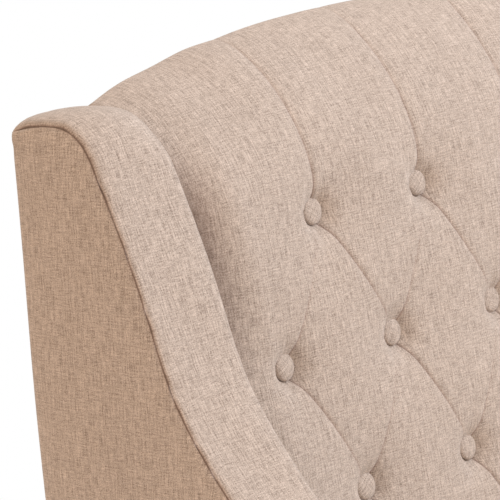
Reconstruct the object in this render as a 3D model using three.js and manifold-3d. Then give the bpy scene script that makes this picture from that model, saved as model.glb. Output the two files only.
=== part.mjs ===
// A queen-size wingback bed with a button-tufted headboard: upholstered headboard with two wings,
// padded side rails, a low padded footboard and a slatted base on a centre rail.
// Millimetres, +Z up. The head is at +Y and the foot at -Y; the origin is on the floor, at the
// middle of the bed's length and width. "Depth" is the distance forward of the headboard's back.
import * as THREE from "three";
import { mergeVertices } from "three/addons/utils/BufferGeometryUtils.js";
import Module from "manifold-3d";

const wasm = await Module();
wasm.setup();

// ---------------------------------------------------------------- driving dimensions
const GAP = 0.3; // between pieces that touch
const MATTRESS_LENGTH = 2032;
const INNER_WIDTH = 1560; // between the wings, round a 1524 mattress
const WING_THICKNESS = 86;
const HEAD_DEPTH = 205; // headboard's back to the mattress
const MATTRESS_PLAY = 8;
const FOOT_THICKNESS = 50;
const LENGTH = HEAD_DEPTH + MATTRESS_LENGTH + MATTRESS_PLAY + FOOT_THICKNESS;
const HALF = INNER_WIDTH / 2;
const BACK_Y = LENGTH / 2;
const FRONT_Y = -LENGTH / 2;

// Tufting: a diamond lattice of buttons, counted down from the top row.
const TOP_ROW_Z = 1198;
const ROW_PITCH = 127;
const COLUMN_PITCH = 152;
const ROWS = 5;
const LONG_ROW = 10; // rows 2 and 4; the others hold one fewer
const TUFT_DEPTH = 24; // from the crown of a diamond to the dimple's bottom
const BUTTON_RADIUS = 12.5;
const BUTTON_SEAT = 7; // the button's back stands this far off the dimple's bottom
const TWINE_RADIUS = 2;
const TWINE_HOLE = 3;

// The pad's front: upright at the mattress, leaning back above it, rolled over the top.
const LEAN = 0.165;
const CROWN_DEPTH_AT_TOP_ROW = 131;
const CROWN_DEPTH_LOW = 195;
const ROLL_START_Z = TOP_ROW_Z + 20;
const PAD_THICKNESS = 45;
const PAD_BOTTOM_Z = 305;
const TOP_PADDING = 52;
const BACK_COVER_THICKNESS = 3;
const BOARD_THICKNESS = 9;
const BOARD_BOTTOM_Z = 150;
const BOARD_TOP_Z = TOP_ROW_Z + 48;

const WING_BOTTOM_Z = 38;
const WING_DEPTH = 297;
const WING_PADDING = 8;
const WING_FRONT_PADDING = 12;

const SLAT_TOP_Z = 300;
const SLAT = { count: 12, width: 90, thickness: 18, length: 1552 };
const SLAT_BOTTOM_Z = SLAT_TOP_Z - SLAT.thickness;
const RAIL = { bottom: 110, top: 350, inner: 785, outer: 835, boardInner: 788, boardThickness: 25 };
const LEDGER = { width: 30, height: 40 };
const FOOTBOARD_TOP_Z = 390;
const CENTRE_RAIL = { width: 42, height: 70 };
const CENTRE_LEG = { side: 45, offsets: [-430, 430], bore: 5.3, boreDepth: 70 };
const FOOT_POST = { top: 54, bottom: 33, fromEnd: 46, fromFront: 32 }; // a tapered square post
const LEVELLER = { radius: 21, height: 22, stem: 4.9, stemLength: 60 };

// ---------------------------------------------------------------- materials
const material = (color, roughness, metalness = 0) =>
  new THREE.MeshStandardMaterial({ color, roughness, metalness });
const LINEN = material(0xcdb9ab, 0.95);
const PINE = material(0xd9bd8b, 0.7);
const PLYWOOD = material(0xc9a877, 0.75);
const DARK_WOOD = material(0x3a241a, 0.45);
const BLACK_PLASTIC = material(0x1c1c1d, 0.6);
const BLACK_STEEL = material(0x26272a, 0.5, 0.8);
const ZINC = material(0xb4b8bb, 0.35, 0.9);
const TWINE = material(0xcdb9ab, 0.9);

// ---------------------------------------------------------------- helpers
const bed = new THREE.Group();

function piece(name, geometry, look, parent = bed) {
  const mesh = new THREE.Mesh(geometry, look);
  mesh.name = name;
  parent.add(mesh);
  return mesh;
}

// A box between two corners.
function boxGeometry(x0, x1, y0, y1, z0, z1) {
  return new THREE.BoxGeometry(x1 - x0, y1 - y0, z1 - z0).translate(
    (x0 + x1) / 2,
    (y0 + y1) / 2,
    (z0 + z1) / 2,
  );
}

// A [y, z] outline drawn out along X from x0 to x1.
function alongX(outline, x0, x1) {
  const shape = new THREE.Shape(outline.map(([y, z]) => new THREE.Vector2(y, z)));
  return new THREE.ExtrudeGeometry(shape, { depth: x1 - x0, bevelEnabled: false })
    .applyMatrix4(new THREE.Matrix4().makeBasis(
      new THREE.Vector3(0, 1, 0),
      new THREE.Vector3(0, 0, 1),
      new THREE.Vector3(1, 0, 0),
    ))
    .translate(x0, 0, 0);
}

// An [x, z] outline drawn out along Y from y0 to y1.
function alongY(outline, y0, y1) {
  const shape = new THREE.Shape(outline.map(([x, z]) => new THREE.Vector2(x, z)));
  return new THREE.ExtrudeGeometry(shape, { depth: y1 - y0, bevelEnabled: false })
    .rotateX(Math.PI / 2)
    .translate(0, y1, 0);
}

function solid(geometry) {
  const bare = geometry.index ? geometry.toNonIndexed() : geometry.clone();
  bare.deleteAttribute("normal");
  bare.deleteAttribute("uv");
  const merged = mergeVertices(bare, 1e-3);
  return new wasm.Manifold(
    new wasm.Mesh({
      numProp: 3,
      vertProperties: new Float32Array(merged.attributes.position.array),
      triVerts: new Uint32Array(merged.index.array),
    }),
  );
}

function geometryOf(manifold) {
  const { numProp, vertProperties, triVerts } = manifold.getMesh();
  const positions = new Float32Array((vertProperties.length / numProp) * 3);
  for (let i = 0; i < positions.length / 3; i++)
    positions.set(vertProperties.subarray(i * numProp, i * numProp + 3), i * 3);
  const geometry = new THREE.BufferGeometry()
    .setAttribute("position", new THREE.BufferAttribute(positions, 3))
    .setIndex(new THREE.BufferAttribute(new Uint32Array(triVerts), 1));
  geometry.computeVertexNormals();
  return geometry;
}

const cut = (body, ...tools) =>
  geometryOf(tools.reduce((left, tool) => left.subtract(solid(tool)), solid(body)));
const join = (...bodies) =>
  geometryOf(bodies.slice(1).reduce((sum, body) => sum.add(solid(body)), solid(bodies[0])));

// Names the left piece at -X and its mirror image at +X. make(side) builds it with side -1 or 1.
function pair(name, look, make) {
  for (const [word, side] of [["left", -1], ["right", 1]])
    piece(`${name}_${word}`, make(side), look);
}

// The [low, high] pair of |x| limits on one side of the bed.
const onSide = (side, inner, outer) => (side < 0 ? [-outer, -inner] : [inner, outer]);
const fromBack = (depth) => BACK_Y - depth;

// ---------------------------------------------------------------- the headboard's shape
// Height of the headboard's top above the top row, by the distance in from the wing.
const TOP_LINE = new THREE.CatmullRomCurve3(
  [[0, 124], [45, 134.5], [95, 143.5], [135, 152.5], [200, 160], [300, 165.5], [520, 169.5], [780, 172]].map(
    ([e, z]) => new THREE.Vector3(e, z, 0),
  ),
  false,
  "centripetal",
);
const TOP_LINE_POINTS = TOP_LINE.getPoints(160);

function topZ(x) {
  const inward = Math.max(0, HALF - Math.abs(x));
  const next = TOP_LINE_POINTS.findIndex((p) => p.x >= inward);
  if (next <= 0) return TOP_ROW_Z + TOP_LINE_POINTS[next < 0 ? TOP_LINE_POINTS.length - 1 : 0].y;
  const [a, b] = [TOP_LINE_POINTS[next - 1], TOP_LINE_POINTS[next]];
  return TOP_ROW_Z + a.y + ((b.y - a.y) * (inward - a.x)) / (b.x - a.x);
}

// Depth of the pad's crown below the roll: a lean that eases into an upright stretch.
function crownDepth(z) {
  const ease = 30;
  const leaning = CROWN_DEPTH_AT_TOP_ROW + LEAN * (TOP_ROW_Z - z);
  const over = leaning - CROWN_DEPTH_LOW;
  if (over <= -ease) return leaning;
  if (over >= ease) return CROWN_DEPTH_LOW;
  return leaning - (over + ease) ** 2 / (4 * ease);
}

const boardFront = (z) => crownDepth(z) - PAD_THICKNESS;
const TOP_RAIL_FRONT = boardFront(BOARD_TOP_Z) - BOARD_THICKNESS - 1.2 * GAP;
const BOARD_LEVELS = [BOARD_BOTTOM_Z, 683, 780, 865, 950, 1047, BOARD_TOP_Z]; // where the board bends
const rowZ = (row) => TOP_ROW_Z - row * ROW_PITCH;
const rowCount = (row) => (row % 2 ? LONG_ROW : LONG_ROW - 1);
const buttonX = (row, i) => (i - (rowCount(row) - 1) / 2) * COLUMN_PITCH;

// How far the cover lies below the crown, from 0 at a diamond's middle to 1 at a button.
function tuft(x, z) {
  const across = x / (COLUMN_PITCH / 2);
  const down = (TOP_ROW_Z - z) / ROW_PITCH;
  const share = (value) => value - Math.floor(value);
  const closeness = (value) => Math.abs(Math.cos(Math.PI * value)) ** 3;
  const puff = (value) => Math.sin(Math.PI * value) ** 0.8;
  const [a, b] = [share((across + down) / 2), share((across - down) / 2)];
  const valley = (along, off) => 1 - (0.2 + 0.8 * closeness(along)) * (1 - puff(off));
  return 1 - valley(b, a) * valley(a, b);
}

// The same where the pleats run straight up or down to an edge: only the column matters.
const pleat = (x, row) => tuft(x, rowZ(row)) ** 2;

// Cross-sections a quarter of a column apart, from the left wing to the right.
const STATIONS = [-HALF + GAP];
for (let i = -20; i <= 20; i++) STATIONS.push((i * COLUMN_PITCH) / 4);
STATIONS.push(HALF - GAP);

// ---------------------------------------------------------------- headboard pad
// One cross-section of the pad as a closed [y, z] loop, the same number of points for every x.
function padSection(x) {
  const top = topZ(x);
  const fade = Math.min(1, (HALF - Math.abs(x)) / 60);
  const outer = [];
  for (const z of [PAD_BOTTOM_Z, 450, 590])
    outer.push([fromBack(crownDepth(z)), z]);
  for (let step = 2 * (ROWS - 1); step >= 0; step--) {
    const z = TOP_ROW_Z - (step * ROW_PITCH) / 2;
    outer.push([fromBack(crownDepth(z) - TUFT_DEPTH * tuft(x, z) * fade), z]);
  }
  const start = new THREE.Vector2(crownDepth(ROLL_START_Z), ROLL_START_Z);
  const rise = top - ROLL_START_Z;
  const end = new THREE.Vector2(8, top);
  const roll = new THREE.CubicBezierCurve(
    start,
    new THREE.Vector2(start.x - LEAN * 0.51 * rise, start.y + 0.51 * rise),
    new THREE.Vector2(end.x + 0.34 * (start.x - end.x), top),
    end,
  );
  const centre = new THREE.Vector2(10, ROLL_START_Z);
  for (const t of [0.12, 0.3, 0.48, 0.66, 0.84, 1]) {
    const on = roll.getPoint(t);
    const inwardStep = TUFT_DEPTH * pleat(x, 0) * fade * 0.4 * (1 - t);
    on.add(centre.clone().sub(on).setLength(inwardStep));
    outer.push([fromBack(on.x), on.y]);
  }
  outer.push([fromBack(BACK_COVER_THICKNESS + GAP), top - 7]);
  outer.push([fromBack(BACK_COVER_THICKNESS + GAP), top - 80]);
  const ledge = TOP_RAIL_FRONT + GAP;
  const inner = [
    [12, top - 80], [12, top - TOP_PADDING], [ledge, top - TOP_PADDING], [ledge, BOARD_TOP_Z + GAP],
    [boardFront(BOARD_TOP_Z) + 1.2 * GAP, BOARD_TOP_Z + GAP],
  ];
  for (const z of [...BOARD_LEVELS.slice(1).reverse(), PAD_BOTTOM_Z])
    inner.push([boardFront(z) + 1.2 * GAP, z]);
  return [...outer, ...inner.map(([depth, z]) => [fromBack(depth), z])];
}

// The pad lofted through its cross-sections.
function padGeometry() {
  const loops = STATIONS.map(padSection);
  const count = loops[0].length;
  const positions = loops.flatMap((loop, i) => loop.flatMap(([y, z]) => [STATIONS[i], y, z]));
  const indices = [];
  for (let i = 0; i + 1 < STATIONS.length; i++)
    for (let j = 0; j < count; j++) {
      const [a, b] = [i * count + j, i * count + ((j + 1) % count)];
      indices.push(a, a + count, b, b, a + count, b + count);
    }
  for (const [at, wanted] of [[0, -1], [STATIONS.length - 1, 1]]) {
    const outline = loops[at].map(([y, z]) => new THREE.Vector2(y, z));
    for (const [a, b, c] of THREE.ShapeUtils.triangulateShape(outline, [])) {
      const turn = THREE.ShapeUtils.area([outline[a], outline[b], outline[c]]);
      const face = turn * wanted > 0 ? [a, b, c] : [a, c, b];
      indices.push(...face.map((k) => at * count + k));
    }
  }
  return new THREE.BufferGeometry()
    .setAttribute("position", new THREE.Float32BufferAttribute(positions, 3))
    .setIndex(indices);
}

// Where a button sits and which way it faces.
function buttonPlace(row, i) {
  const z = rowZ(row);
  const depth = crownDepth(z) - TUFT_DEPTH;
  const slope = (crownDepth(z - 5) - crownDepth(z + 5)) / 10;
  return { at: new THREE.Vector3(buttonX(row, i), fromBack(depth), z), tilt: Math.atan(slope) };
}

// A prism of given radius on a button's axis, from `ahead` in front of the dimple to `behind` it.
function onButtonAxis(geometry, { at, tilt }) {
  return geometry.rotateX(Math.PI / 2 - tilt).translate(at.x, at.y, at.z);
}

function rod(radius, sides, ahead, behind) {
  return new THREE.CylinderGeometry(radius, radius, ahead + behind, sides)
    .rotateX(Math.PI / 2)
    .translate(0, 0, (ahead - behind) / 2);
}

const TWINE_BACK = PAD_THICKNESS - TUFT_DEPTH + BOARD_THICKNESS + 3.5; // dimple to the tie behind the board

function tuftHoles() {
  const holes = [];
  for (let row = 0; row < ROWS; row++)
    for (let i = 0; i < rowCount(row); i++)
      holes.push(solid(onButtonAxis(rod(TWINE_HOLE, 6, 6, TWINE_BACK + 4), buttonPlace(row, i))));
  return wasm.Manifold.union(holes);
}

// One row of covered buttons, tied through the pad and board by one run of twine.
function buttonRow(row) {
  const dome = [[0, 0], [11, 0], [BUTTON_RADIUS, 2], [BUTTON_RADIUS - 1.5, 5], [6.5, 7.4], [0, 8.4]];
  const parts = [];
  for (let i = 0; i < rowCount(row); i++) {
    const button = new THREE.LatheGeometry(dome.map(([r, h]) => new THREE.Vector2(r, h)), 10)
      .rotateX(Math.PI / 2)
      .translate(0, 0, BUTTON_SEAT);
    const place = buttonPlace(row, i);
    parts.push(solid(onButtonAxis(button, place)));
    parts.push(solid(onButtonAxis(rod(TWINE_RADIUS, 6, BUTTON_SEAT + 2, TWINE_BACK), place)));
  }
  const { at, tilt } = buttonPlace(row, 0);
  const span = (rowCount(row) - 1) * COLUMN_PITCH + 2 * TWINE_RADIUS;
  const tie = new THREE.CylinderGeometry(TWINE_RADIUS, TWINE_RADIUS, span, 6)
    .rotateZ(Math.PI / 2)
    .translate(0, at.y + TWINE_BACK * Math.cos(tilt), at.z - TWINE_BACK * Math.sin(tilt));
  parts.push(solid(tie));
  return geometryOf(wasm.Manifold.union(parts));
}

// ---------------------------------------------------------------- headboard frame
function headboard() {
  const holes = tuftHoles();
  piece("headboard_pad", geometryOf(solid(padGeometry()).subtract(holes)), LINEN);

  const front = BOARD_LEVELS.map((z) => [fromBack(boardFront(z)), z]);
  const back = BOARD_LEVELS.map((z) => [fromBack(boardFront(z) - BOARD_THICKNESS), z]).reverse();
  const board = alongX([...front, ...back], -HALF + GAP, HALF - GAP);
  piece("headboard_front_board", geometryOf(solid(board).subtract(holes)), PLYWOOD);

  for (let row = 0; row < ROWS; row++)
    piece(`tuft_button_row_${row + 1}`, buttonRow(row), TWINE);

  // Uprights whose front edges follow the board.
  const railBack = 14;
  const railFront = 44;
  const topRailBottom = TOP_ROW_Z + 18;
  const upright = (rear) => {
    const inside = [...BOARD_LEVELS.filter((z) => z < topRailBottom), topRailBottom - GAP];
    const edge = inside.map((z) => [fromBack(boardFront(z) - BOARD_THICKNESS - 1.2 * GAP), z]);
    return [...edge, [fromBack(rear), topRailBottom - GAP], [fromBack(rear), BOARD_BOTTOM_Z]];
  };
  const stileWidth = 44;
  pair("headboard_stile", PINE, (side) =>
    alongX(upright(railBack), ...onSide(side, HALF - stileWidth, HALF - GAP)));
  const notches = [];
  for (let row = 0; row < ROWS; row++) {
    const { at } = buttonPlace(row, 0);
    const y = at.y + TWINE_BACK;
    notches.push(boxGeometry(0, 90, y - 14, y + 5, at.z - 14, at.z + 6));
  }
  piece("headboard_centre_rib", cut(alongX(upright(railFront + GAP), 29, 47), ...notches), PLYWOOD);

  const between = HALF - stileWidth - GAP;
  const bottomRail = boxGeometry(-between, between, fromBack(railFront), fromBack(railBack), 180, 280);
  piece("headboard_bottom_rail", bottomRail, PINE);

  // A panel whose top edge runs `below` the headboard's top line.
  const panel = (below, bottom, rear, front) => {
    const top = STATIONS.map((x) => [x, topZ(x) - below]).reverse();
    return alongY([...top, [-HALF + GAP, bottom], [HALF - GAP, bottom]], fromBack(front), fromBack(rear));
  };
  piece("headboard_top_rail", panel(TOP_PADDING + GAP, topRailBottom, railBack, TOP_RAIL_FRONT), PINE);
  piece("headboard_back_cover", panel(12, BOARD_BOTTOM_Z - 40, 0, BACK_COVER_THICKNESS), LINEN);
}

// ---------------------------------------------------------------- wings
// The wing's side outline, shrunk by `inset` at the front and top and by `rear` at the back.
function wingOutline(inset, rear, bottom) {
  const at = (depth, height) => new THREE.Vector2(depth - inset, TOP_ROW_Z + height - inset);
  const path = new THREE.Path();
  path.moveTo(rear, TOP_ROW_Z + 110 - inset);
  path.quadraticCurveTo(rear, TOP_ROW_Z + 118 - inset, rear + 10, TOP_ROW_Z + 118 - inset);
  path.lineTo(48, TOP_ROW_Z + 118 - inset);
  const bend = (a, b, c) => path.bezierCurveTo(a.x, a.y, b.x, b.y, c.x, c.y);
  bend(at(84 + inset / 2, 118 + inset), at(92.5, 97 + inset / 2), at(103, 72));
  bend(at(180.6, -95.4), at(134.5, -85), at(241.4, -210));
  bend(at(277, -252), at(WING_DEPTH, -300), at(WING_DEPTH, -370));
  path.lineTo(WING_DEPTH - inset, bottom);
  path.lineTo(rear, bottom);
  return path.getPoints(8).map((p) => [fromBack(p.x), p.y]);
}

function wings() {
  const coreInner = HALF + WING_PADDING;
  const coreOuter = HALF + WING_THICKNESS - WING_PADDING;
  pair("wing_core", PLYWOOD, (side) => {
    const outline = wingOutline(WING_FRONT_PADDING, 4, WING_BOTTOM_Z + 4);
    const core = alongX(outline, ...onSide(side, coreInner, coreOuter));
    return geometryOf(solid(core).subtract(boltHoles(side, "head")));
  });
  pair("wing_pad", LINEN, (side) => {
    const shell = alongX(wingOutline(0, 0, WING_BOTTOM_Z), ...onSide(side, HALF, HALF + WING_THICKNESS));
    const hollow = alongX(
      wingOutline(WING_FRONT_PADDING - GAP, 4 - GAP, WING_BOTTOM_Z - 5),
      ...onSide(side, coreInner - GAP, coreOuter + GAP),
    );
    // The inner padding stops at the slats, so that the rail's steel plate lies on the core.
    const window = boxGeometry(
      ...onSide(side, HALF - 5, coreInner + 1),
      fromBack(WING_DEPTH + 5), fromBack(HEAD_DEPTH - 35),
      WING_BOTTOM_Z - 5, SLAT_BOTTOM_Z + GAP,
    );
    return cut(shell, hollow, window);
  });
  pair("wing_foot", BLACK_PLASTIC, (side) => {
    const half = 30;
    const middle = side * (HALF + WING_THICKNESS / 2);
    const outline = [[middle - half, WING_BOTTOM_Z - GAP], [middle - half, 8], [middle - half + 6, 0]];
    const mirror = outline.map(([x, z]) => [2 * middle - x, z]).reverse();
    return alongY([...outline, ...mirror], fromBack(WING_DEPTH - 24), fromBack(20));
  });
}

// ---------------------------------------------------------------- side rails and joints
const WING_FRONT_Y = fromBack(WING_DEPTH);
const FOOT_INNER_Y = FRONT_Y + FOOT_THICKNESS;
const PLATE = { thickness: 5, bottom: 132, top: 234, reach: 88 };
const BOLT = { hole: 4.3, shank: 3.9, head: 7, headHeight: 4.5, length: 28, zs: [155, 211] };

// The two ends of a rail where bolts go: through the plate into the wing, or into the footboard.
function boltPlaces(side, end) {
  return BOLT.zs.map((z) =>
    end === "head"
      ? { x: side * RAIL.boardInner, y: WING_FRONT_Y + 44, z }
      : { x: side * (RAIL.boardInner - 36), y: FOOT_INNER_Y - 6, z },
  );
}

// A cylinder on a bolt's axis; `inward` reaches to the middle of the bed and `outward` into the wood.
function onBoltAxis(radius, sides, inward, outward, place, side, end) {
  const bar = new THREE.CylinderGeometry(radius, radius, inward + outward, sides);
  const shift = (outward - inward) / 2;
  if (end === "head") bar.rotateZ(Math.PI / 2).translate(side * shift, 0, 0);
  else bar.translate(0, -shift, 0);
  return bar.translate(place.x, place.y, place.z);
}

function boltHoles(side, end) {
  return wasm.Manifold.union(
    boltPlaces(side, end).map((place) =>
      solid(onBoltAxis(BOLT.hole, 8, PLATE.thickness + 6, BOLT.length + 3, place, side, end))),
  );
}

function sideRails() {
  const y0 = FOOT_INNER_Y - 6 + GAP;
  const y1 = WING_FRONT_Y - GAP;
  const boardOuter = RAIL.boardInner + RAIL.boardThickness;
  pair("side_rail_board", PINE, (side) =>
    boxGeometry(...onSide(side, RAIL.boardInner, boardOuter), y0, y1, RAIL.bottom + 8, RAIL.top - 8));

  // The padding wraps the outside, top and bottom and turns in behind the board.
  pair("side_rail_cover", LINEN, (side) => {
    const outline = [
      [RAIL.inner, RAIL.top - 34], [RAIL.inner, RAIL.top - 3], [RAIL.inner + 3, RAIL.top],
      [RAIL.outer - 7, RAIL.top], [RAIL.outer, RAIL.top - 7], [RAIL.outer, RAIL.bottom + 5],
      [RAIL.outer - 5, RAIL.bottom], [RAIL.inner + 2, RAIL.bottom], [RAIL.inner + 2, RAIL.bottom + 7.7],
      [boardOuter + GAP, RAIL.bottom + 7.7], [boardOuter + GAP, RAIL.top - 7.7],
      [RAIL.boardInner - GAP, RAIL.top - 7.7], [RAIL.boardInner - GAP, RAIL.top - 34],
    ];
    const placed = outline.map(([x, z]) => [side * x, z]);
    return alongY(side < 0 ? placed : placed.reverse(), FOOT_INNER_Y + GAP, y1);
  });

  pair("slat_ledger", PINE, (side) =>
    boxGeometry(
      ...onSide(side, RAIL.boardInner - GAP - LEDGER.width, RAIL.boardInner - GAP),
      FOOT_INNER_Y + 12, fromBack(HEAD_DEPTH + 4),
      SLAT_BOTTOM_Z - GAP - LEDGER.height, SLAT_BOTTOM_Z - GAP,
    ));

  // Steel plate to the wing at the head, steel angle to the footboard at the foot.
  const plateOuter = RAIL.boardInner - GAP;
  pair("rail_plate_head", BLACK_STEEL, (side) => {
    const plate = boxGeometry(
      ...onSide(side, plateOuter - PLATE.thickness, plateOuter),
      WING_FRONT_Y - 110, WING_FRONT_Y + PLATE.reach, PLATE.bottom, PLATE.top,
    );
    return geometryOf(solid(plate).subtract(boltHoles(side, "head")));
  });
  pair("rail_angle_foot", BLACK_STEEL, (side) => {
    const flat = FOOT_INNER_Y - 6 + GAP;
    const alongRail = boxGeometry(
      ...onSide(side, plateOuter - PLATE.thickness, plateOuter),
      flat, flat + 120, PLATE.bottom, PLATE.top,
    );
    const alongFoot = boxGeometry(
      ...onSide(side, plateOuter - 68, plateOuter),
      flat, flat + PLATE.thickness, PLATE.bottom, PLATE.top,
    );
    return geometryOf(solid(alongRail).add(solid(alongFoot)).subtract(boltHoles(side, "foot")));
  });

  for (const end of ["head", "foot"])
    for (const [word, side] of [["left", -1], ["right", 1]])
      boltPlaces(side, end).forEach((place, i) => {
        const under = PLATE.thickness + 2 * GAP;
        const shank = onBoltAxis(BOLT.shank, 8, under + 1, BOLT.length, place, side, end);
        const head = onBoltAxis(BOLT.head, 12, under + BOLT.headHeight, -under, place, side, end);
        piece(`rail_bolt_${end}_${word}_${i + 1}`, join(shank, head), ZINC);
      });
}

// ---------------------------------------------------------------- footboard
function footboard() {
  const halfWidth = RAIL.outer;
  const coreFront = FRONT_Y + 14;
  const coreBack = FOOT_INNER_Y - 6;
  const coreHalf = halfWidth - 10;
  const core = boxGeometry(-coreHalf, coreHalf, coreFront, coreBack, RAIL.bottom + 6, FOOTBOARD_TOP_Z - 10);
  piece(
    "footboard_board",
    geometryOf(solid(core).subtract(boltHoles(-1, "foot")).subtract(boltHoles(1, "foot"))),
    PINE,
  );

  // The padding wraps the front, ends, top and underside and turns down behind the top edge.
  const returnZ = RAIL.top + 0.6;
  const outline = [
    [FRONT_Y, RAIL.bottom + 6], [FRONT_Y + 6, RAIL.bottom], [FOOT_INNER_Y - 4, RAIL.bottom],
    [FOOT_INNER_Y, RAIL.bottom + 4], [FOOT_INNER_Y, FOOTBOARD_TOP_Z - 8],
    [FOOT_INNER_Y - 8, FOOTBOARD_TOP_Z], [FRONT_Y + 12, FOOTBOARD_TOP_Z], [FRONT_Y, FOOTBOARD_TOP_Z - 12],
  ];
  const shell = alongX(outline, -halfWidth, halfWidth);
  const hollow = boxGeometry(
    -coreHalf - GAP, coreHalf + GAP, coreFront - GAP, coreBack + GAP,
    RAIL.bottom + 6 - GAP, FOOTBOARD_TOP_Z - 10 + GAP,
  );
  const backOpening = boxGeometry(
    -halfWidth - 1, halfWidth + 1, coreBack - 1, FOOT_INNER_Y + 1, RAIL.bottom - 1, returnZ,
  );
  piece("footboard_pad", cut(shell, hollow, backOpening), LINEN);

  pair("footboard_foot", DARK_WOOD, (side) => {
    const height = RAIL.bottom - GAP;
    const [topRadius, bottomRadius] = [FOOT_POST.top / Math.SQRT2, FOOT_POST.bottom / Math.SQRT2];
    return new THREE.CylinderGeometry(topRadius, bottomRadius, height, 4)
      .rotateY(Math.PI / 4)
      .rotateX(Math.PI / 2)
      .translate(side * (halfWidth - FOOT_POST.fromEnd), FRONT_Y + FOOT_POST.fromFront, height / 2);
  });
}

// ---------------------------------------------------------------- slatted base
function slatBase() {
  const first = FOOT_INNER_Y + 16;
  const last = fromBack(HEAD_DEPTH + 10) - SLAT.width;
  const pitch = (last - first) / (SLAT.count - 1);
  for (let i = 0; i < SLAT.count; i++) {
    const y = first + i * pitch;
    piece(
      `slat_${String(i + 1).padStart(2, "0")}`,
      boxGeometry(-SLAT.length / 2, SLAT.length / 2, y, y + SLAT.width, SLAT_BOTTOM_Z, SLAT_TOP_Z),
      PINE,
    );
  }

  const half = CENTRE_RAIL.width / 2;
  const top = SLAT_BOTTOM_Z - GAP;
  const bottom = top - CENTRE_RAIL.height;
  const footEnd = FOOT_INNER_Y - 6 + GAP;
  const headEnd = fromBack(boardFront(250)) - GAP;
  const steel = 3;
  piece(
    "centre_rail",
    boxGeometry(-half, half, footEnd + steel + GAP, headEnd - steel - GAP, bottom, top),
    PINE,
  );

  // Stirrups that hold the centre rail's ends: a back plate with two cheeks and a floor.
  const stirrup = (wallY, direction) => {
    const span = (depth) => (direction > 0 ? [wallY, wallY + depth] : [wallY - depth, wallY]);
    const wide = half + GAP;
    const back = boxGeometry(-wide - 26, wide + 26, ...span(steel), bottom - steel - GAP, top - 4);
    const block = boxGeometry(-wide - steel, wide + steel, ...span(48), bottom - steel - GAP, top - 4);
    const between = direction > 0 ? [wallY + steel, wallY + 60] : [wallY - 60, wallY - steel];
    const room = boxGeometry(-wide, wide, ...between, bottom - GAP, top);
    return geometryOf(solid(back).add(solid(block)).subtract(solid(room)));
  };
  piece("centre_stirrup_foot", stirrup(footEnd, 1), BLACK_STEEL);
  piece("centre_stirrup_head", stirrup(headEnd, -1), BLACK_STEEL);

  const legBottom = LEVELLER.height + GAP;
  CENTRE_LEG.offsets.forEach((y, i) => {
    const name = i ? "head" : "foot";
    const side = CENTRE_LEG.side / 2;
    const post = boxGeometry(-side, side, y - side, y + side, legBottom, bottom - GAP);
    const bore = new THREE.CylinderGeometry(CENTRE_LEG.bore, CENTRE_LEG.bore, 2 * CENTRE_LEG.boreDepth, 16)
      .rotateX(Math.PI / 2)
      .translate(0, y, legBottom);
    piece(`centre_leg_${name}`, cut(post, bore), DARK_WOOD);
    const profile = [
      [0, 0], [LEVELLER.radius - 2, 0], [LEVELLER.radius, 3], [LEVELLER.radius, 9], [LEVELLER.radius - 5, 13],
      [12, 14], [12, LEVELLER.height], [LEVELLER.stem, LEVELLER.height],
      [LEVELLER.stem, LEVELLER.height + LEVELLER.stemLength - 1.5],
      [LEVELLER.stem - 1.5, LEVELLER.height + LEVELLER.stemLength],
      [0, LEVELLER.height + LEVELLER.stemLength],
    ];
    const leveller = new THREE.LatheGeometry(profile.map(([r, z]) => new THREE.Vector2(r, z)), 20);
    piece(`centre_leveller_${name}`, leveller.rotateX(Math.PI / 2).translate(0, y, 0), BLACK_PLASTIC);
  });
}

headboard();
wings();
sideRails();
footboard();
slatBase();

export default bed;
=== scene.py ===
import math
from types import SimpleNamespace

import bmesh
import bpy
import numpy as np
from mathutils import Matrix, Vector


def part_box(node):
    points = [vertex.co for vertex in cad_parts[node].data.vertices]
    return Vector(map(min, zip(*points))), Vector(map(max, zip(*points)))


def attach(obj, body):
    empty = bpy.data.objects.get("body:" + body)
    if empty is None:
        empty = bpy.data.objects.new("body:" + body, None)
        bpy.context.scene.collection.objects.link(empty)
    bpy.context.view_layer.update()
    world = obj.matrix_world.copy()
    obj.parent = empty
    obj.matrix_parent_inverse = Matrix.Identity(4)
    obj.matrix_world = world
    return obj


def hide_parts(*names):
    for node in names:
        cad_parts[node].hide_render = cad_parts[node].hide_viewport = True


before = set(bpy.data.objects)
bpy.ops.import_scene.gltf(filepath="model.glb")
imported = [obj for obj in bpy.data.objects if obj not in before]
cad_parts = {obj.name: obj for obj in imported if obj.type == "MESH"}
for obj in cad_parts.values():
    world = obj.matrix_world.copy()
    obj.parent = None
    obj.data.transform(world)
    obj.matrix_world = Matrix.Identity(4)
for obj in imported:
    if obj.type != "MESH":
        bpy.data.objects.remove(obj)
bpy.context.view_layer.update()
scene = bpy.context.scene

# ---- the bed's measures, in metres
BACK = 1.1475  # Y of the headboard's back; depths are forward of it
HALF = 0.780  # from the middle to a wing's inner face
WING = 0.086  # a wing's thickness
SIDES = (("left", -1), ("right", 1))  # and the sign of X there
TOP_ROW = 1.198  # height of the top row of buttons
COLUMN = 0.152  # between the buttons of a row
ROW = 0.127  # from one row of buttons to the next
ROWS = 5
LAST_ROW = TOP_ROW - (ROWS - 1) * ROW
LEAN = 0.165  # how far forward the pad comes for each metre down
CROWN_TOP_ROW = 0.131  # depth of the pad's crown at the top row
CROWN_LOW = 0.195  # and where it stands upright, lower down
EASING = 0.030
BUTTON_SUNK = 0.0208  # a button's back, below the crown
ROLL_START = TOP_ROW + 0.020
PAD_BOTTOM = 0.305
EDGE_COLUMN = 9 * COLUMN / 2  # the outermost buttons' column
# The arch of the top edge: the way in from a wing, and the height above the top row.
TOP_EDGE = [
    (-0.200, 0.085), (0, 0.124), (0.045, 0.1345), (0.095, 0.1435), (0.135, 0.1525), (0.200, 0.160),
    (0.300, 0.1655), (0.520, 0.1695), (0.780, 0.172),
]


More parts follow.
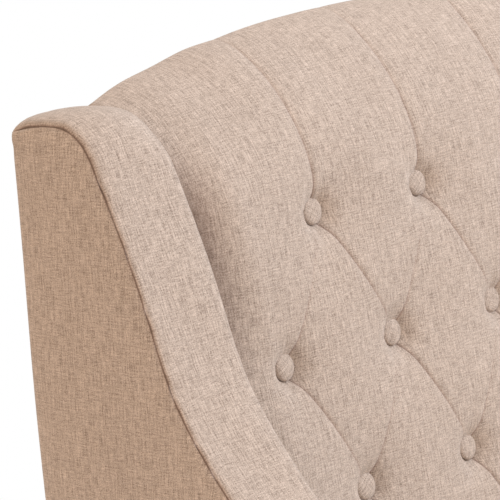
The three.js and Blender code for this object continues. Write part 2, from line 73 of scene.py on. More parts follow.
def mix(a, b, share):
    return a + (b - a) * share


def smooth(value, low, high):
    share = np.clip((value - low) / (high - low), 0, 1)
    return share * share * (3 - 2 * share)


def fall(value, reach, power=1):
    """Falls from 1 towards 0 as a value grows past its reach; a bell when the power is 2."""
    return np.exp(-((value / reach) ** power))


def bezier(p0, p1, p2, p3, t):
    return (1 - t) ** 3 * p0 + 3 * (1 - t) ** 2 * t * p1 + 3 * (1 - t) * t * t * p2 + t ** 3 * p3


def from_middle(low, high):
    """How far the inner and the outer side of a box on one side of the bed are from the middle."""
    return sorted((abs(low[0]), abs(high[0])))


# ---- materials
class Nodes:
    """A node tree, with one short call for each kind of node."""

    def __init__(self, tree):
        self.tree = tree

    def plug(self, value, socket):
        if isinstance(value, bpy.types.NodeSocket):
            self.tree.links.new(value, socket)
        else:
            socket.default_value = value

    def node(self, kind, inputs=(), **settings):
        made = self.tree.nodes.new("ShaderNode" + kind)
        for key, value in settings.items():
            setattr(made, key, value)
        for key, value in dict(inputs).items():
            self.plug(value, made.inputs[key])
        return made

    def math(self, operation, a, b=0.0):
        return self.node("Math", {0: a, 1: b}, operation=operation).outputs[0]

    def add(self, a, b):
        return self.math("ADD", a, b)

    def times(self, a, b):
        return self.math("MULTIPLY", a, b)

    def scaled(self, vector, scale, offset=(0, 0, 0)):
        return self.node("Mapping", {"Vector": vector, "Scale": scale, "Location": offset}).outputs[0]

    def noise(self, vector, scale, detail=2.0, roughness=0.5, distortion=0.0):
        inputs = {"Vector": vector, "Scale": scale, "Detail": detail, "Roughness": roughness}
        return self.node("TexNoise", inputs | {"Distortion": distortion}).outputs[0]

    def range(self, value, low, high, new_low=0.0, new_high=1.0):
        inputs = {0: value, 1: low, 2: high, 3: new_low, 4: new_high}
        return self.node("MapRange", inputs).outputs[0]

    def blend(self, share, a, b, blend_type="MIX"):
        inputs = {0: share, 6: a, 7: b}
        return self.node("Mix", inputs, data_type="RGBA", blend_type=blend_type).outputs[2]


class Graph(Nodes):
    """A material's node tree. Values that are the same all over are set on its shader."""

    def __init__(self, name, **shader):
        self.material = bpy.data.materials.new(name)
        self.material.use_nodes = True
        super().__init__(self.material.node_tree)
        self.shader = self.tree.nodes["Principled BSDF"]
        for key, value in shader.items():
            self.shader.inputs[key.replace("_", " ")].default_value = value

    def bump(self, height, distance, strength):
        made = self.node("Bump", {"Height": height, "Distance": distance, "Strength": strength})
        self.plug(made.outputs[0], self.shader.inputs["Normal"])

    def colour(self, value):
        self.plug(value, self.shader.inputs["Base Color"])

    def roughness(self, value):
        self.plug(value, self.shader.inputs["Roughness"])


THREAD = 0.0009  # from thread to thread of the linen


def linen(name, light, dark, shade, seam):
    """Heathered plain weave. The UV map holds metres along and across the threads.

    A point attribute darkens the cloth with painted shade in folds, round buttons, at seams and corners and
    beside the wings: towards shade, then towards seam where strongest; at seams it is partly their own dark
    line.
    """
    g = Graph(name, Roughness=0.92, Sheen_Weight=0.25, Sheen_Roughness=0.5, Specular_IOR_Level=0.2)
    place = g.node("UVMap", uv_map="weave").outputs[0]
    wobble = g.times(g.noise(place, 60, detail=2), 0.0016)
    shift = g.node("CombineXYZ", {0: wobble, 1: wobble}).outputs[0]
    bent = g.node("VectorMath", {0: place, 1: shift}, operation="ADD").outputs[0]
    warp = g.noise(g.scaled(bent, (1, 0.10, 1)), 760, detail=1)
    weft = g.noise(g.scaled(bent, (0.13, 1, 1), (3.1, 1.7, 0)), 760, detail=1)
    slub = g.noise(g.scaled(bent, (1, 0.035, 1), (7.7, 0, 0)), 430, detail=2)
    cross_slub = g.noise(g.scaled(bent, (0.05, 1, 1), (0, 5.3, 0)), 430, detail=2)
    grain = g.noise(g.scaled(bent, (1, 0.9, 1), (1.9, 0, 0)), 1000, detail=1)
    patch = g.noise(place, 14, detail=3)
    total = warp
    for threads, weight in ((weft, 0.80), (grain, 1.60), (slub, 0.46), (cross_slub, 0.26), (patch, 0.12)):
        total = g.add(total, g.times(threads, weight))
    middle, spread = 2.12, 0.52
    value = g.range(total, middle - spread, middle + spread)
    cloth = g.blend(value, dark, light)
    # Painted shade: how far each point is darkened towards the painted shade colours.
    crease = g.node("Attribute", attribute_name="crease").outputs[2]
    painted_shade_colour = g.blend(crease, shade, seam)
    g.colour(g.blend(g.times(crease, 0.88), cloth, painted_shade_colour))
    # The threads go over and under each other.
    u, v = g.node("SeparateXYZ", {0: bent}).outputs[:2]
    turns = 2 * math.pi / THREAD
    over_u, over_v = (g.math("SINE", g.times(way, turns)) for way in (u, v))
    over = g.times(over_u, over_v)
    height = g.add(g.times(over, 0.20), g.add(warp, weft))
    g.bump(height, 0.00045, 0.55)
    return g.material


def wood(name, light, dark, scale, roughness=0.6, along=1):
    """Wood with its grain along one axis: 0 for X, 1 for Y, 2 for Z."""
    g = Graph(name, Roughness=roughness)
    place = g.node("TexCoord").outputs["Object"]
    stretch = [scale] * 3
    stretch[along] = scale * 0.06
    bent = g.scaled(place, tuple(stretch))
    grain = g.noise(bent, 1.0, detail=5, roughness=0.6, distortion=0.8)
    fine = g.noise(g.scaled(bent, (6, 6, 6)), 1.0, detail=3, roughness=0.7)
    value = g.add(g.times(grain, 0.8), g.times(fine, 0.35))
    g.colour(g.blend(g.range(value, 0.38, 0.78), dark, light))
    g.roughness(g.range(fine, 0.3, 0.7, roughness - 0.08, roughness + 0.12))
    g.bump(value, 0.0006, 0.35)
    return g.material


def plain(name, colour, roughness, metallic=0.0, speckle=900, depth=0.00008):
    """Plastic or metal, with faint patches and a fine surface grain."""
    g = Graph(name, Metallic=metallic)
    place = g.node("TexCoord").outputs["Object"]
    fine = g.noise(place, speckle, detail=3, roughness=0.6)
    broad = g.noise(place, 12, detail=3)
    darker = tuple(0.7 * c for c in colour[:3]) + (1,)
    g.colour(g.blend(g.times(broad, 0.25), colour, darker))
    g.roughness(g.range(broad, 0.3, 0.7, roughness - 0.08, roughness + 0.08))
    g.bump(fine, depth, 0.5)
    return g.material


# shade and seam are the colours of the painted shade in folds, at seams and beside the wings; seam is the
# darker one.
LINEN = linen(
    "linen", light=(0.650, 0.578, 0.538, 1), dark=(0.225, 0.186, 0.164, 1),
    shade=(0.215, 0.104, 0.086, 1), seam=(0.070, 0.048, 0.036, 1),
)
PINE_Y = wood("pine_lengthwise", (0.73, 0.54, 0.31, 1), (0.53, 0.34, 0.16, 1), 28, along=1)
PINE_X = wood("pine_crosswise", (0.75, 0.57, 0.34, 1), (0.56, 0.37, 0.18, 1), 28, along=0)
PINE_Z = wood("pine_upright", (0.73, 0.54, 0.31, 1), (0.53, 0.34, 0.16, 1), 28, along=2)
PLYWOOD = wood("plywood", (0.60, 0.42, 0.24, 1), (0.42, 0.27, 0.14, 1), 16, along=2)
DARK_WOOD = wood("dark_wood", (0.060, 0.027, 0.014, 1), (0.022, 0.010, 0.006, 1), 40, roughness=0.38, along=2)
PLASTIC = plain("black_plastic", (0.014, 0.014, 0.015, 1), 0.55)
STEEL = plain("black_steel", (0.020, 0.020, 0.022, 1), 0.45, metallic=0.6)
ZINC = plain("zinc", (0.50, 0.52, 0.53, 1), 0.32, metallic=1.0, speckle=1500, depth=0.00003)


# ---- mesh making
def linked(name, data):
    """A new object in the scene."""
    made = bpy.data.objects.new(name, data)
    scene.collection.objects.link(made)
    return made


def face_out(mesh):
    shape = bmesh.new()
    shape.from_mesh(mesh)
    bmesh.ops.recalc_face_normals(shape, faces=shape.faces)
    shape.to_mesh(mesh)
    shape.free()


def make(name, points, faces, look, slot, body="bed", uv=None, crease=None, replaces=()):
    """A smooth piece that rides on a body, with its UVs by face corner and its painted fold shade by point.
    """
    mesh = bpy.data.meshes.new(name)
    mesh.from_pydata([tuple(p) for p in points], [], [tuple(f) for f in faces])
    mesh.materials.append(look)
    if uv is not None:
        layer = mesh.uv_layers.new(name="weave")
        layer.data.foreach_set("uv", np.asarray(uv, dtype=np.float32).ravel())
    # The painted shade, kept on the mesh for the linen to darken by.
    if crease is not None:
        shade = mesh.attributes.new("crease", "FLOAT", "POINT")
        shade.data.foreach_set("value", np.asarray(crease, dtype=np.float32).ravel())
    face_out(mesh)
    mesh.shade_smooth()
    made = linked(name, mesh)
    if replaces:
        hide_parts(*replaces)
    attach(made, body)
    return made


def grid_faces(rows, columns, wrap=False):
    """Quads of a grid of points."""
    i, j = np.meshgrid(np.arange(rows - 1), np.arange(columns if wrap else columns - 1), indexing="ij")
    nxt = (j + 1) % columns
    low, high = i * columns, (i + 1) * columns
    return np.stack([low + j, low + nxt, high + nxt, high + j], axis=-1).reshape(-1, 4)


def tube_faces(rows, columns):
    """Quads of a grid of points wrapped into a tube, and then a cap at each end."""
    ends = [tuple(range(columns))[::-1], tuple(range((rows - 1) * columns, rows * columns))]
    return grid_faces(rows, columns, wrap=True).tolist() + ends


def loft(name, rings, uv_left, uv_right, **kinds):
    """A closed linen skin through rings of points. Face column j has UVs uv_left[:, j] and uv_right[:, j]."""
    points = rings.reshape(-1, 3)
    faces = tube_faces(*rings.shape[:2])
    uv = np.stack([uv_left[:-1], uv_right[:-1], uv_right[1:], uv_left[1:]], axis=2).reshape(-1, 2)
    uv = np.concatenate([uv] + [points[list(end)][:, [0, 2]] for end in faces[-2:]])
    return make(name, points, faces, LINEN, "linen", uv=uv, **kinds)


# ---- soft pieces made as cloth
def places_of(mesh):
    places = np.empty(3 * len(mesh.vertices), dtype=np.float32)
    mesh.vertices.foreach_get("co", places)
    return places.reshape(-1, 3).astype(float)


STUFFING = 0.9  # share of any inward movement that the stuffing takes back


def settle(piece, held, cap, pressure=4.0, frames=20):
    """Lets a closed cover swell over its stuffing as cloth.

    Held vertices stay, none moves past cap, and the stuffing takes back most of what sinks in.
    """
    before = places_of(piece.data)
    outward = np.array([tuple(vertex.normal) for vertex in piece.data.vertices])
    piece.vertex_groups.new(name="held").add([int(i) for i in np.flatnonzero(held)], 1.0, "REPLACE")
    cloth = piece.modifiers.new("settle", "CLOTH")
    cloth.settings.vertex_group_mass = "held"
    cloth.settings.use_pressure = True
    cloth.settings.uniform_pressure_force = pressure
    cloth.settings.effector_weights.gravity = 0
    cloth.point_cache.frame_start = 1
    cloth.point_cache.frame_end = frames
    for number in range(1, frames + 1):
        scene.frame_set(number)
    after = places_of(piece.evaluated_get(bpy.context.evaluated_depsgraph_get()).data)
    move = after - before
    sinking = np.minimum(0, (move * outward).sum(axis=1))[:, None]
    move -= STUFFING * sinking * outward
    length = np.linalg.norm(move, axis=1)[:, None] + 1e-12
    piece.modifiers.remove(cloth)
    piece.vertex_groups.clear()
    scene.frame_set(1)
    piece.data.vertices.foreach_set("co", (before + move * cap * np.tanh(length / cap) / length).ravel())
    piece.data.update()


def apply_modifiers(piece):
    """Fixes what the modifiers make as the piece's own mesh."""
    final = bpy.data.meshes.new_from_object(piece.evaluated_get(bpy.context.evaluated_depsgraph_get()))
    piece.modifiers.clear()
    piece.data = final


def subdivide(piece):
    piece.modifiers.new("smooth", "SUBSURF").levels = 1
    apply_modifiers(piece)


def carve(piece, *boxes):
    """Cuts box-shaped rooms, each given by its lowest and highest corner, out of a closed piece."""
    cutters = []
    for low, high in boxes:
        shape = bmesh.new()
        size = Vector(high) - Vector(low)
        middle = (Vector(high) + Vector(low)) / 2
        bmesh.ops.create_cube(shape, size=1, matrix=Matrix.Translation(middle) @ Matrix.Diagonal((*size, 1)))
        mesh = bpy.data.meshes.new("room")
        shape.to_mesh(mesh)
        shape.free()
        cutter = linked("room", mesh)
        cutters.append(cutter)
        cut = piece.modifiers.new("room", "BOOLEAN")
        cut.object = cutter
        cut.solver = "EXACT"
    apply_modifiers(piece)
    for cutter in cutters:
        bpy.data.objects.remove(cutter)


ARC_STEPS = 5
CAP_RINGS = (0.25, 0.5, 0.75, 0.93)  # sizes of the rings on a bar's flat ends


def rounded_outline(low, high, radii, step):
    """A box outline with rounded corners, from its lowest corner round by the second axis' low side.

    The radii are those of the corners low-low, high-low, high-high and low-high.
    """
    (a0, b0), (a1, b1) = low, high
    corners = [(a0, b0, math.pi), (a1, b0, 1.5 * math.pi), (a1, b1, 0.0), (a0, b1, 0.5 * math.pi)]
    outline = []
    for (a, b, first), radius in zip(corners, radii):
        middle_a = a + radius if a == a0 else a - radius
        middle_b = b + radius if b == b0 else b - radius
        arc = [first + math.pi / 2 * k / ARC_STEPS for k in range(ARC_STEPS + 1)]
        points = [(middle_a + radius * math.cos(t), middle_b + radius * math.sin(t)) for t in arc]
        if outline:
            outline += between(outline[-1], points[0], step)
        outline += points
    return np.array(outline + between(outline[-1], outline[0], step))


def between(a, b, step):
    """Points strictly between two points, no more than a step apart."""
    count = max(1, math.ceil(math.dist(a, b) / step))
    return [(mix(a[0], b[0], n / count), mix(a[1], b[1], n / count)) for n in range(1, count)]


def bar_mesh(name, outline, stations, place, end_radius, **kinds):
    """A closed soft bar: the outline at every station, drawn in round both ends and closed by flat caps."""
    middle = (outline.min(axis=0) + outline.max(axis=0)) / 2
    half = (outline.max(axis=0) - outline.min(axis=0)) / 2
    first, last = stations[0], stations[-1]
    rings, ways = [], []

    def ring(along, inset, share=1.0, inward=0.0):
        section = middle + (outline - middle) * (1 - inset / half) * share
        rings.append([place(along, a, b) for a, b in section])
        ways.append(along + inward)

    for share in CAP_RINGS:
        ring(first, end_radius, share, -(1 - share) * 0.1)
    for along in stations:
        left = max(0.0, end_radius - min(along - first, last - along))
        ring(along, end_radius - math.sqrt(end_radius ** 2 - left ** 2))
    for share in reversed(CAP_RINGS):
        ring(last, end_radius, share, (1 - share) * 0.1)
    round_way = np.cumsum(np.linalg.norm(outline - np.roll(outline, 1, axis=0), axis=1))
    left = np.stack(np.broadcast_arrays(round_way[None, :], np.array(ways)[:, None]), axis=-1)
    right = np.roll(left, -1, axis=1)
    right[:, -1, 0] += round_way[-1]
    return loft(name, np.array(rings), left, right, **kinds)


def stations_along(first, last, fine, coarse):
    """Places from first to last, close together near both ends."""
    near = [0, 0.25, 0.5, 0.8, 1.2, 1.8, 2.6, 3.6]
    start = [first + fine * n for n in near]
    end = [last - fine * n for n in reversed(near)]
    count = max(2, round((end[0] - start[-1]) / coarse))
    return start + [mix(start[-1], end[0], n / count) for n in range(1, count)] + end


# ---- headboard pad
def crown(z):
    """Depth of the pad's crown: it leans, and eases into upright lower down."""
    leaning = CROWN_TOP_ROW + LEAN * (TOP_ROW - z)
    over = leaning - CROWN_LOW
    eased = leaning - (over + EASING) ** 2 / (4 * EASING)
    return np.where(over <= -EASING, leaning, np.where(over >= EASING, CROWN_LOW, eased))


# The arch in steps of 1 mm from the wing inward, with its corners smoothed.
ARCH_AT = np.linspace(-0.2, HALF, 981)
SMOOTHING = np.hanning(51) / np.hanning(51).sum()
ARCH = np.convolve(np.pad(np.interp(ARCH_AT, *zip(*TOP_EDGE)), 25, mode="edge"), SMOOTHING, mode="valid")


def top_height(x):
    return TOP_ROW + np.interp(HALF - np.abs(x), ARCH_AT, ARCH)


def share_of(value):
    return value - np.floor(value)


PLEAT = math.hypot(COLUMN / 2, ROW)  # from a button to the next along a pleat


def pleats(x, z):
    """The way to the rising and the falling pleat beside a point, and the way along each from its button."""
    across, down = x / (COLUMN / 2), (TOP_ROW - z) / ROW
    a, b = share_of((across + down) / 2), share_of((across - down) / 2)
    wide = COLUMN * ROW / PLEAT
    return (np.minimum(a, 1 - a) * wide, b * PLEAT), (np.minimum(b, 1 - b) * wide, a * PLEAT)


def column_distance(x):
    """Distance to the nearest upright pleat, above the first row and below the last."""
    return np.abs(x - np.clip(np.round(x / COLUMN), -4, 4) * COLUMN)


def groove(off, along, tight, soft, reach, steady):
    """Depth of a pleat: a tight fold with a soft dip either side, easing off along its way from a button."""
    strength = steady + (1 - steady) * fall(along, reach)
    return tight * strength * fall(off, 0.0026) + soft * strength * fall(off, 0.016, 1.2)


def falling_groove(off, along):
    last = 0.0022 * fall(PLEAT - along, 0.016) * fall(off, 0.003)
    return groove(off, along, 0.0046, 0.0036, 0.042, 0.26) + last


def rising_groove(off, along):
    return groove(off, along, 0.0056, 0.0044, 0.034, 0.07)


def dimple(distance):
    """Depth of the hollow that a button pulls in."""
    return 0.0150 * fall(distance, 0.0165, 2.2) + 0.0085 * fall(distance, 0.040, 1.5)


def sunk(x, z, run):
    """How far the cover lies below the crown. run is the way along the cover beyond the first or last row."""
    near = nearest_button(x, np.where(run > 0, np.where(z > TOP_ROW, TOP_ROW + run, LAST_ROW - run), z))[0]
    rising, falling = (made(*place) for made, place in zip((rising_groove, falling_groove), pleats(x, z)))
    inside = np.maximum(rising, falling) + 0.35 * np.minimum(rising, falling)
    inside *= 1 - smooth(np.abs(x), EDGE_COLUMN, EDGE_COLUMN + 0.004)
    upright = groove(column_distance(x), run, 0.0048, 0.0056, 0.034, 0.26)
    outside = mix(inside, upright, smooth(run, 0, 0.010))
    return np.hypot(dimple(near), np.where(run > 0, outside, inside))


def nearest_button(x, z):
    """Distance and direction from the nearest button, and a number of its own."""
    row = np.clip(np.round((TOP_ROW - z) / ROW), 0, ROWS - 1)
    best = np.full(x.shape, 9.0)
    angle = np.zeros(x.shape)
    seed = np.zeros(x.shape)
    for step in (-1, 0, 1):
        r = np.clip(row + step, 0, ROWS - 1)
        shift = np.where(r % 2 == 1, COLUMN / 2, 0)
        most = np.where(r % 2 == 1, 4.5, 4)
        column = np.clip(np.round((x - shift) / COLUMN) * COLUMN + shift, -most * COLUMN, most * COLUMN)
        dx, dz = x - column, z - (TOP_ROW - r * ROW)
        distance = np.hypot(dx, dz)
        closer = distance < best
        best = np.where(closer, distance, best)
        angle = np.where(closer, np.arctan2(dz, dx), angle)
        seed = np.where(closer, np.round(column / COLUMN * 2) * 1.7 + r * 2.9, seed)
    return best, angle, seed


CELLS = 20  # mesh steps across a lattice cell
LOW_STEPS = 28  # mesh steps below the last row
SIDE_STEPS = 16  # and beside the outermost buttons
SLANT = 1.0135  # way along the leaning cover, for each metre of height
TACKED = 0.0035  # depth of the cover's edge, where it is tacked behind the top rail
TURN_DOWN = 0.0065  # radius of the cover's turn over the back edge
PAD_THICK = 0.0446  # from the crown to the front board


def crowd(w):
    """Moves even mesh steps closer to the pleat that they start from."""
    return 0.26 * w + 0.74 * w * w


def lattice_steps():
    """The half column that each mesh column lies in, and its share of the way across it."""
    n = np.arange(18 * CELLS + 1)
    half_column = np.minimum(n // CELLS, 17)
    return half_column - 9, (n - half_column * CELLS) / CELLS


def upright_stations(k, s):
    """x of each mesh column where the pleats are upright."""
    return (k + np.where(k % 2 == 0, crowd(s), 1 - crowd(1 - s))) * COLUMN / 2


def lattice_stations(k, s, band, t):
    """x and height share of each mesh column between two rows, crowded to the pleats."""
    rising = (k + band + 1) % 2 == 0
    p = np.where(rising, s, 1 - s)
    w = np.abs(t - p)
    warped = crowd(w)
    low = np.minimum(t, p) / np.maximum(1e-9, 1 - w) * (1 - warped)
    x = np.where(t >= p, low, low + warped)
    return (k + np.where(rising, x, 1 - x)) * COLUMN / 2, np.where(t >= p, low + warped, low)


def face_stations(k, s):
    """x and height of the mesh points on the pad's face, row by row from the bottom up."""
    edge = HALF - 0.0012
    left = -edge + np.linspace(0, 1, SIDE_STEPS + 1)[:-1] ** 0.9 * (edge - EDGE_COLUMN)
    rows_x, rows_z = [], []

    def add(x, z):
        z = np.broadcast_to(z, x.shape)
        rows_x.append(np.concatenate([left, x, -left[::-1]]))
        rows_z.append(np.concatenate([np.full(left.shape, z[0]), z, np.full(left.shape, z[-1])]))

    for t in np.linspace(0, 1, LOW_STEPS + 1)[:-1]:
        add(upright_stations(k, s), mix(PAD_BOTTOM, LAST_ROW, 1 - (1 - t) ** 1.35))
    for band in range(ROWS - 2, -1, -1):
        for n in range(CELLS):
            x, t = lattice_stations(k, s, band, n / CELLS)
            add(x, mix(TOP_ROW - (band + 1) * ROW, TOP_ROW - band * ROW, t))
    for z in np.linspace(TOP_ROW, ROLL_START, 5)[:-1]:
        add(upright_stations(k, s), z)
    return np.array(rows_x), np.array(rows_z)


def roll_curve(x):
    """Depth and height of the roll over the top at each x, before any pleats."""
    top = top_height(x)
    level = np.full_like(x, ROLL_START)
    start = np.stack([crown(level), level], axis=-1)
    end = np.stack([np.full_like(top, TACKED + TURN_DOWN), top], axis=-1)
    rise = top - ROLL_START
    up = start + np.stack([-LEAN * 0.51 * rise, 0.51 * rise], axis=-1)
    back = end + np.stack([0.34 * (start[:, 0] - TACKED - TURN_DOWN), 0 * top], axis=-1)
    rows = [bezier(start, up, back, end, t) for t in np.linspace(0, 1, 35)]
    for angle in np.linspace(0, math.pi / 2, 9)[1:]:
        depth = np.full_like(top, TACKED + TURN_DOWN * (1 - math.sin(angle)))
        rows.append(np.stack([depth, top - TURN_DOWN * (1 - math.cos(angle))], axis=-1))
    rows.append(np.stack([np.full_like(top, TACKED), top - 0.080], axis=-1))
    rows = np.array(rows)
    return rows[..., 0], rows[..., 1]


def pad_normals(depth, height, face_z):
    """Forward and upward part of the section's outward normals; on the face, from the crown's slope."""
    d_depth, d_height = np.gradient(depth, axis=0), np.gradient(height, axis=0)
    length = np.hypot(d_depth, d_height) + 1e-12
    forward, upward = d_height / length, -d_depth / length
    slope = (crown(face_z + 0.002) - crown(face_z - 0.002)) / 0.004
    forward[:len(face_z)] = 1 / np.hypot(1, slope)
    upward[:len(face_z)] = -slope / np.hypot(1, slope)
    return forward, upward


def pad_relief(at):
    """How far the pad's cover lies inside its section."""
    down = sunk(at.x, at.level, at.run) * at.fade
    # Fine gathers round each button, and the slight unevenness of hand stuffing.
    near, angle, seed = nearest_button(at.x, np.where(at.roll, TOP_ROW + at.run_up, at.height))
    gathers = np.cos(7 * angle + seed) + 0.6 * np.cos(11 * angle + 2.3 * seed)
    down += 0.0005 * gathers * fall(near, 0.030, 2) * smooth(near, 0.008, 0.018)
    lumps = np.sin(at.x * 31 + 1.3) * np.sin(at.way * 27 + 0.4) + 0.6 * np.sin(at.x * 53 + at.way * 41)
    down += 0.0006 * lumps
    # The cover turns in beside the wings.
    valley = mix(0.084, 0.066, smooth(at.height, 1.03, 1.22))
    turn_in = 0.018 * fall(at.edge, 0.020, 1.6) + 0.024 * (1 - smooth(at.edge, 0, valley))
    down += turn_in * mix(1, 0.12, smooth(at.run_up, 0, 0.15)) * mix(0.6, 1, smooth(at.height, 0.95, 1.12))
    down[-1] = 0
    return down


def fold(off, way, least, most, reach):
    """Painted shade of a tucked pleat, strongest at its button."""
    return fall(off, 0.0008) * mix(least, most, fall(way, reach))


def pad_shade(at):
    """Painted shade where the pad's cover is tucked, and a painted shadow on the pad beside each wing."""
    (rise_off, rise_way), (fall_off, fall_way) = pleats(at.x, at.level)
    among = (at.run <= 0) & (np.abs(at.x) <= EDGE_COLUMN + 1e-6)
    rising = fold(rise_off, rise_way, 0.06, 0.9, 0.040)
    falling = fold(fall_off, fall_way, 0.32, 1, 0.045)
    upright = np.where(at.run > 0, fold(column_distance(at.x), at.run, 0.30, 1, 0.035), 0)
    # A painted shadow on the pad beside the wing, fading out over the roll.
    painted_wing_shadow = 0.72 * fall(at.edge, 0.031, 2.6)
    painted_wing_shadow *= np.where(at.roll, 1 - smooth(at.run_up, 0, 0.12), 1)
    pleated = np.where(among, np.maximum(rising, falling), upright)
    return np.maximum(pleated * at.fade, painted_wing_shadow)


def pad_inside(x):
    """Rows of points that close the pad behind the top rail and down along the front board."""
    top = top_height(x)
    behind = lambda z: float(crown(np.array(z))) - PAD_THICK
    ledge = behind(1.246) - 0.0097
    rows = [(0.012, top - 0.080), (0.012, top - 0.052), (ledge, top - 0.052), (ledge, 0 * top + 1.2465)]
    rows += [(behind(z), 0 * top + z) for z in (1.246, 1.047, 0.950, 0.865, 0.780, 0.683, PAD_BOTTOM)]
    return np.array([np.stack([x, 0 * top + BACK - depth, z], axis=-1) for depth, z in rows])


def pad_faces(rows, columns, k):
    """Triangles split along the pleats, so the pleats are clean lines, and a cap at each side."""
    faces = []
    for i in range(rows):
        band = (i - LOW_STEPS) // CELLS
        for j in range(columns - 1):
            rising = True
            if 0 <= band < ROWS - 1 and SIDE_STEPS <= j < SIDE_STEPS + len(k) - 1:
                rising = (k[j - SIDE_STEPS] + ROWS - 1 - band) % 2 == 0
            p, t = i * columns + j, (i + 1) % rows * columns + j
            q, r = p + 1, t + 1
            faces += [(p, q, r), (p, r, t)] if rising else [(p, q, t), (q, r, t)]
    faces.append(tuple(i * columns for i in range(rows)))
    faces.append(tuple(i * columns + columns - 1 for i in range(rows - 1, -1, -1)))
    return faces


def pad_mesh():
    k, s = lattice_steps()
    X, face_z = face_stations(k, s)
    x = X[-1]
    roll_depth, roll_height = roll_curve(x)
    X = np.concatenate([X, np.repeat(x[None], len(roll_depth), axis=0)])
    depth = np.concatenate([crown(face_z), roll_depth])
    height = np.concatenate([face_z, roll_height])
    # Way along the cover, for the weave and for the pleats above and below the rows.
    steps = np.hypot(np.diff(roll_depth, axis=0), np.diff(roll_height, axis=0))
    over = np.concatenate([0 * steps[:1], np.cumsum(steps, axis=0)])
    at = SimpleNamespace(x=X, height=height, edge=HALF - np.abs(X))
    at.way = np.concatenate([face_z * SLANT, ROLL_START * SLANT + over])
    at.roll = np.arange(len(X))[:, None] >= len(face_z)
    at.level = np.where(at.roll, TOP_ROW + 1, height)
    at.run_up = at.way - TOP_ROW * SLANT
    above = at.roll | (height > TOP_ROW - 1e-9)
    at.run = np.where(above, at.run_up, np.maximum(0, LAST_ROW - height))
    at.fade = np.where(at.roll, 1 - smooth(at.run_up, 0.15, 0.225) * 0.85, 1)

    forward, upward = pad_normals(depth, height, face_z)
    down = pad_relief(at)
    cover_depth = np.maximum(depth - forward * down, 0.0034)
    outer = np.stack([X, BACK - cover_depth, height - upward * down], axis=-1)
    inside = pad_inside(x)
    points = np.concatenate([outer, inside])
    uv = np.concatenate([np.stack([X, at.way], axis=-1), inside[..., [0, 2]]]).reshape(-1, 2)
    # Painted shade on the cover's pleats and beside the wings; none inside.
    crease = np.concatenate([pad_shade(at), np.zeros(inside.shape[:2])])
    faces = pad_faces(*points.shape[:2], k)
    corners = np.concatenate([np.array(face) for face in faces])
    return make(
        "headboard_tufted_pad", points.reshape(-1, 3), faces, LINEN, "linen",
        uv=uv[corners], crease=crease.ravel(), replaces=["headboard_pad"],
    )


pad = pad_mesh()

# ---- buttons
BUTTON = [  # radius and height, from the back up
    (0.0105, 0.0), (0.0124, 0.0012), (0.0128, 0.0030), (0.0125, 0.0046), (0.0113, 0.0058), (0.0088, 0.0067),
    (0.0055, 0.0072), (0.0025, 0.0074),
]
BUTTON_TOP = 0.00745
BUTTON_SIDES = 36


def button(centre, turn, twist, seed):
    """A covered button's points and faces, and for each point its cloth's UV and its painted shade."""
    ring = np.linspace(0, 2 * math.pi, BUTTON_SIDES, endpoint=False)
    local, cloth, crease = [], [], []
    for radius, height in BUTTON:
        reach = radius + 0.4 * (BUTTON[-1][1] - height)
        local += [(radius * math.cos(a), radius * math.sin(a), height) for a in ring]
        cloth += [(reach * math.cos(a + twist) + seed, reach * math.sin(a + twist)) for a in ring]
        # Painted shade round the button's foot, where it sinks into the cover.
        crease += [0.8 if height < 0.002 else 0.12 if height < 0.004 else 0.0] * BUTTON_SIDES
    local += [(0, 0, BUTTON_TOP), (0, 0, 0)]
    cloth += [(seed, 0), (seed, 0)]
    # Painted shade on the back's middle point too.
    crease += [0.0, 0.55]
    faces = grid_faces(len(BUTTON), BUTTON_SIDES, wrap=True).tolist()
    last = (len(BUTTON) - 1) * BUTTON_SIDES
    top, back = last + BUTTON_SIDES, last + BUTTON_SIDES + 1
    for j in range(BUTTON_SIDES):
        q = (j + 1) % BUTTON_SIDES
        faces += [(last + j, last + q, top), (q, j, back)]
    return [tuple(turn @ Vector(point) + centre) for point in local], faces, cloth, crease


def button_rows():
    """The buttons of each row as one piece, each turned and tilted a little by hand."""
    for row in range(ROWS):
        count = 10 if row % 2 else 9
        z = TOP_ROW - row * ROW
        depth = float(crown(np.array(z))) - BUTTON_SUNK
        slope = float(crown(np.array(z - 0.005)) - crown(np.array(z + 0.005))) / 0.010
        points, faces, uv, crease = [], [], [], []
        for n in range(count):
            seed = n * 2.399 + row * 1.13
            tilt = math.pi / 2 - math.atan(slope) - 0.05 * math.sin(seed * 3.1)
            turn = Matrix.Rotation(0.06 * math.sin(seed * 1.7), 3, "Z") @ Matrix.Rotation(tilt, 3, "X")
            centre = Vector(((n - (count - 1) / 2) * COLUMN, BACK - depth, z))
            more, more_faces, cloth, shade = button(centre, turn, 0.6 + 0.5 * math.sin(seed), seed)
            uv += [cloth[v] for face in more_faces for v in face]
            faces += [tuple(v + len(points) for v in face) for face in more_faces]
            points += more
            crease += shade
        made = make(
            f"covered_buttons_row_{row + 1}", points, faces, LINEN, "buttons", uv=uv, crease=crease,
            replaces=[f"tuft_button_row_{row + 1}"],
        )


button_rows()

# ---- wings
BAND_STEPS = [
    0.0003, 0.0010, 0.0028, 0.0055, 0.010, 0.017, 0.027, 0.038, 0.048, 0.058, 0.066, 0.0725, 0.0770, 0.0802,
    0.0826, 0.0842, 0.0852, 0.0858,
]  # across the band, from the outer seam
INNER_STEPS = [0.02, 0.06, 0.12, 0.25, 0.42, 0.6, 0.78, 0.92, 0.985]  # shares of the way to the back
BACK_STEPS = [0.04, 0.12, 0.3, 0.5, 0.7, 0.88, 0.96]  # shares of the way outward
PANEL_STEPS = [
    0.985, 0.955, 0.90, 0.82, 0.72, 0.6, 0.48, 0.37, 0.28, 0.21, 0.155, 0.11, 0.078, 0.053, 0.034, 0.020,
    0.010, 0.004, 0.0,
]  # shares of the way from the seam to the back
BAND_RADIUS = 0.008  # of the band's inner edge
FULLER_IN, FULLER_OUT = 0.0075, 0.0035  # how much fuller the band is than the core at that edge
OUTER = HALF + WING


